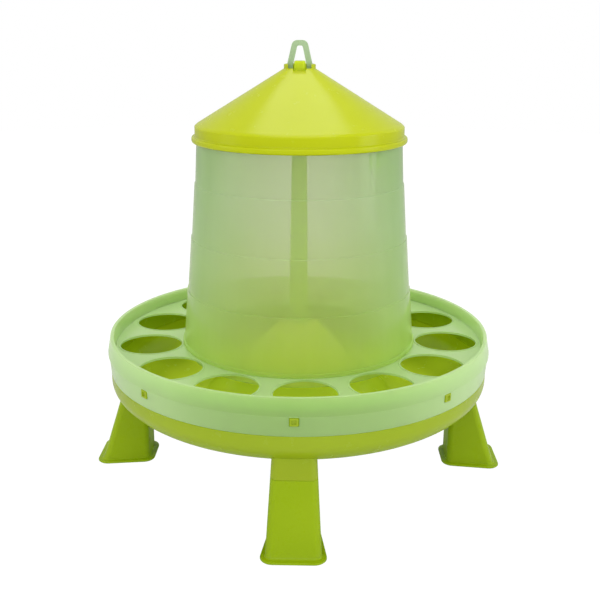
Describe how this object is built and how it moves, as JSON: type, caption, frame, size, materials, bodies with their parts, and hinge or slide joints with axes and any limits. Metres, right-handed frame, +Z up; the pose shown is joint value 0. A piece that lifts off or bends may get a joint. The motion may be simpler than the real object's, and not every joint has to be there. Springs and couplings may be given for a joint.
{
  "type": "hopper feeder",
  "caption": "Gravity hopper feeder for poultry: conical lid, tapering translucent hopper, perforated feeding ring over a round trough, splayed plug-in legs and a hanging loop.",
  "frame": {"origin": "on the feeder's vertical axis at floor level", "axes": "+Z up along the rod; the front leg points to -Y and the hanging loop lies in the XZ plane"},
  "size_m": [0.4592, 0.4592, 0.466],
  "materials": {
    "lime_plastic": "glossy moulded polypropylene, lime green",
    "frosted_plastic": "translucent pale green moulded polypropylene, satin"
  },
  "bodies": {
    "base": {"dish": "lime_plastic", "feeding_ring": "frosted_plastic", "rod": "lime_plastic", "hanging_loop": "frosted_plastic", "rod_nut": "lime_plastic", "leg_front": "lime_plastic", "leg_right": "lime_plastic", "leg_back": "lime_plastic", "leg_left": "lime_plastic"},
    "hopper": {"hopper": "frosted_plastic"},
    "lid": {"lid": "lime_plastic"}
  },
  "joints": [
    {"name": "hopper_lift", "type": "slide", "parent": "base", "child": "hopper", "axis": [0, 0, 1], "range_m": [0, 0.1]},
    {"name": "lid_lift", "type": "slide", "parent": "hopper", "child": "lid", "axis": [0, 0, 1], "range_m": [0, 0.12]}
  ]
}
